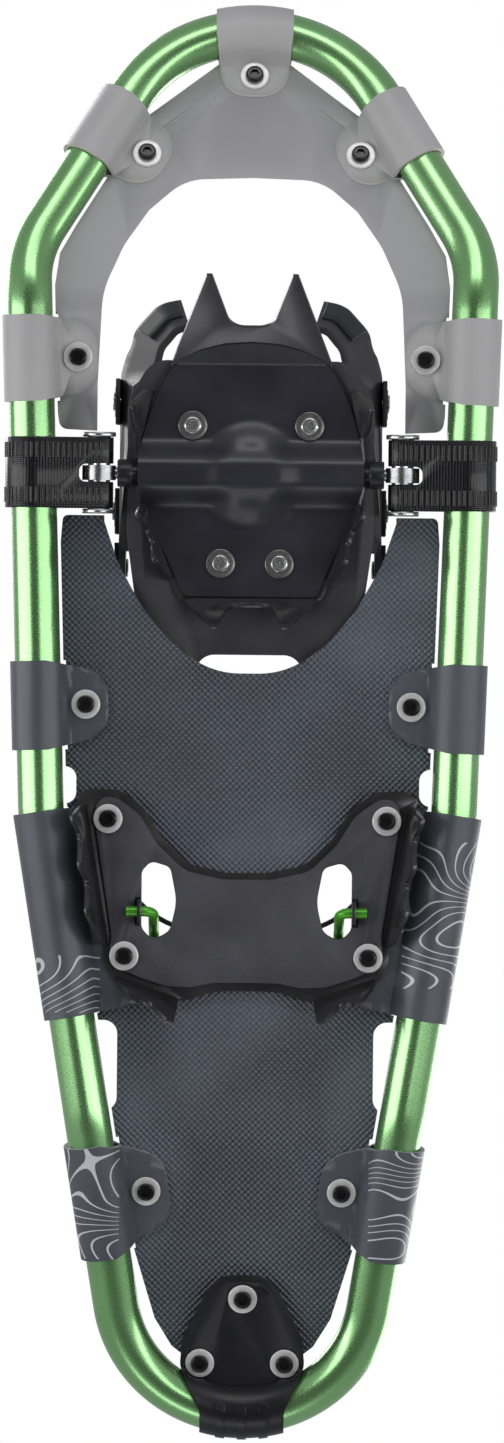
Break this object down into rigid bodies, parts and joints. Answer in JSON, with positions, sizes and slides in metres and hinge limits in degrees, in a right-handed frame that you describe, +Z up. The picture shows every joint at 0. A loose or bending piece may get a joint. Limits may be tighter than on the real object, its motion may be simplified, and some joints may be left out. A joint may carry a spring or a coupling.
{
  "type": "snowshoe",
  "caption": "Tube-framed snowshoe with nose and rear decks, pivoting strap binding with toe crampon, heel crampon and flip-up heel lift.",
  "frame": {"origin": "under the middle of the snowshoe, at the level of the crampon tips", "axes": "+Z up as worn, nose towards -Y, wearer's right towards -X"},
  "size_m": [0.2188, 0.6311, 0.1291],
  "materials": {
    "frame_green": "brushed, green anodised",
    "nose_deck": "mid grey polymer sheet",
    "rear_deck": "dark slate polymer sheet, embossed below",
    "crampon_steel": "black coated steel, gloss",
    "cover_black": "black satin coat",
    "black_plastic": "moulded, satin",
    "strap_black": "moulded elastomer strap",
    "webbing_black": "woven webbing, waxed",
    "pad_rubber": "ribbed rubber",
    "green_accent": "moulded green tips",
    "green_wire": "green coated wire",
    "bright_steel": "zinc plated",
    "black_screw": "black oxide"
  },
  "bodies": {
    "frame": {"clip_nuts": "black_screw", "clip_screws": "black_screw", "clip_washers": "bright_steel", "deck_nuts": "black_screw", "deck_screws": "black_screw", "deck_washers": "bright_steel", "frame_tube": "frame_green", "heel_cover": "black_plastic", "heel_crampon": "crampon_steel", "heel_nuts": "black_screw", "heel_pad": "pad_rubber", "heel_screws": "black_screw", "heel_washers": "bright_steel", "left_pin": "bright_steel", "left_webbing": "webbing_black", "nose_deck": "nose_deck", "rear_deck": "rear_deck", "right_pin": "bright_steel", "right_webbing": "webbing_black", "tail_clip": "black_plastic", "tail_ferrule": "bright_steel", "toe_axle": "bright_steel"},
    "binding": {"axle_bushes": "black_plastic", "cover_nuts": "bright_steel", "cover_screws": "bright_steel", "cover_washers": "bright_steel", "crampon_cover": "cover_black", "footbed": "pad_rubber", "footplate": "black_plastic", "heel_buckle": "black_plastic", "heel_buckle_pin": "bright_steel", "heel_strap": "strap_black", "instep_buckle": "black_plastic", "instep_buckle_pin": "bright_steel", "instep_strap": "strap_black", "left_wing": "black_plastic", "right_wing": "black_plastic", "strap_rivets": "bright_steel", "strap_tabs": "green_accent", "toe_buckle": "black_plastic", "toe_buckle_pin": "bright_steel", "toe_crampon": "crampon_steel", "toe_strap": "strap_black", "wing_rivets": "bright_steel", "wing_trim": "green_accent"},
    "heel_lift": {"heel_bail": "green_wire"},
    "toe_lever": {"toe_lever": "black_plastic"},
    "instep_lever": {"instep_lever": "black_plastic"},
    "heel_lever": {"heel_lever": "black_plastic"}
  },
  "joints": [
    {"name": "toe_pivot", "type": "hinge", "parent": "frame", "child": "binding", "pos_m": [0, -0.1082, 0.028], "axis": [1, 0, 0], "range_deg": [0, 60]},
    {"name": "heel_lift_flip", "type": "hinge", "parent": "frame", "child": "heel_lift", "pos_m": [0, 0.0835, 0.02205], "axis": [1, 0, 0], "range_deg": [0, 95]},
    {"name": "toe_lever_open", "type": "hinge", "parent": "binding", "child": "toe_lever", "pos_m": [0.008, -0.14, 0.1087], "axis": [0, 1, 0], "range_deg": [0, 85]},
    {"name": "instep_lever_open", "type": "hinge", "parent": "binding", "child": "instep_lever", "pos_m": [0.008, -0.092, 0.1267], "axis": [0, 1, 0], "range_deg": [0, 85]},
    {"name": "heel_lever_open", "type": "hinge", "parent": "binding", "child": "heel_lever", "pos_m": [0.0623, 0.028, 0.0885], "axis": [0, 0, 1], "range_deg": [0, 85]}
  ]
}
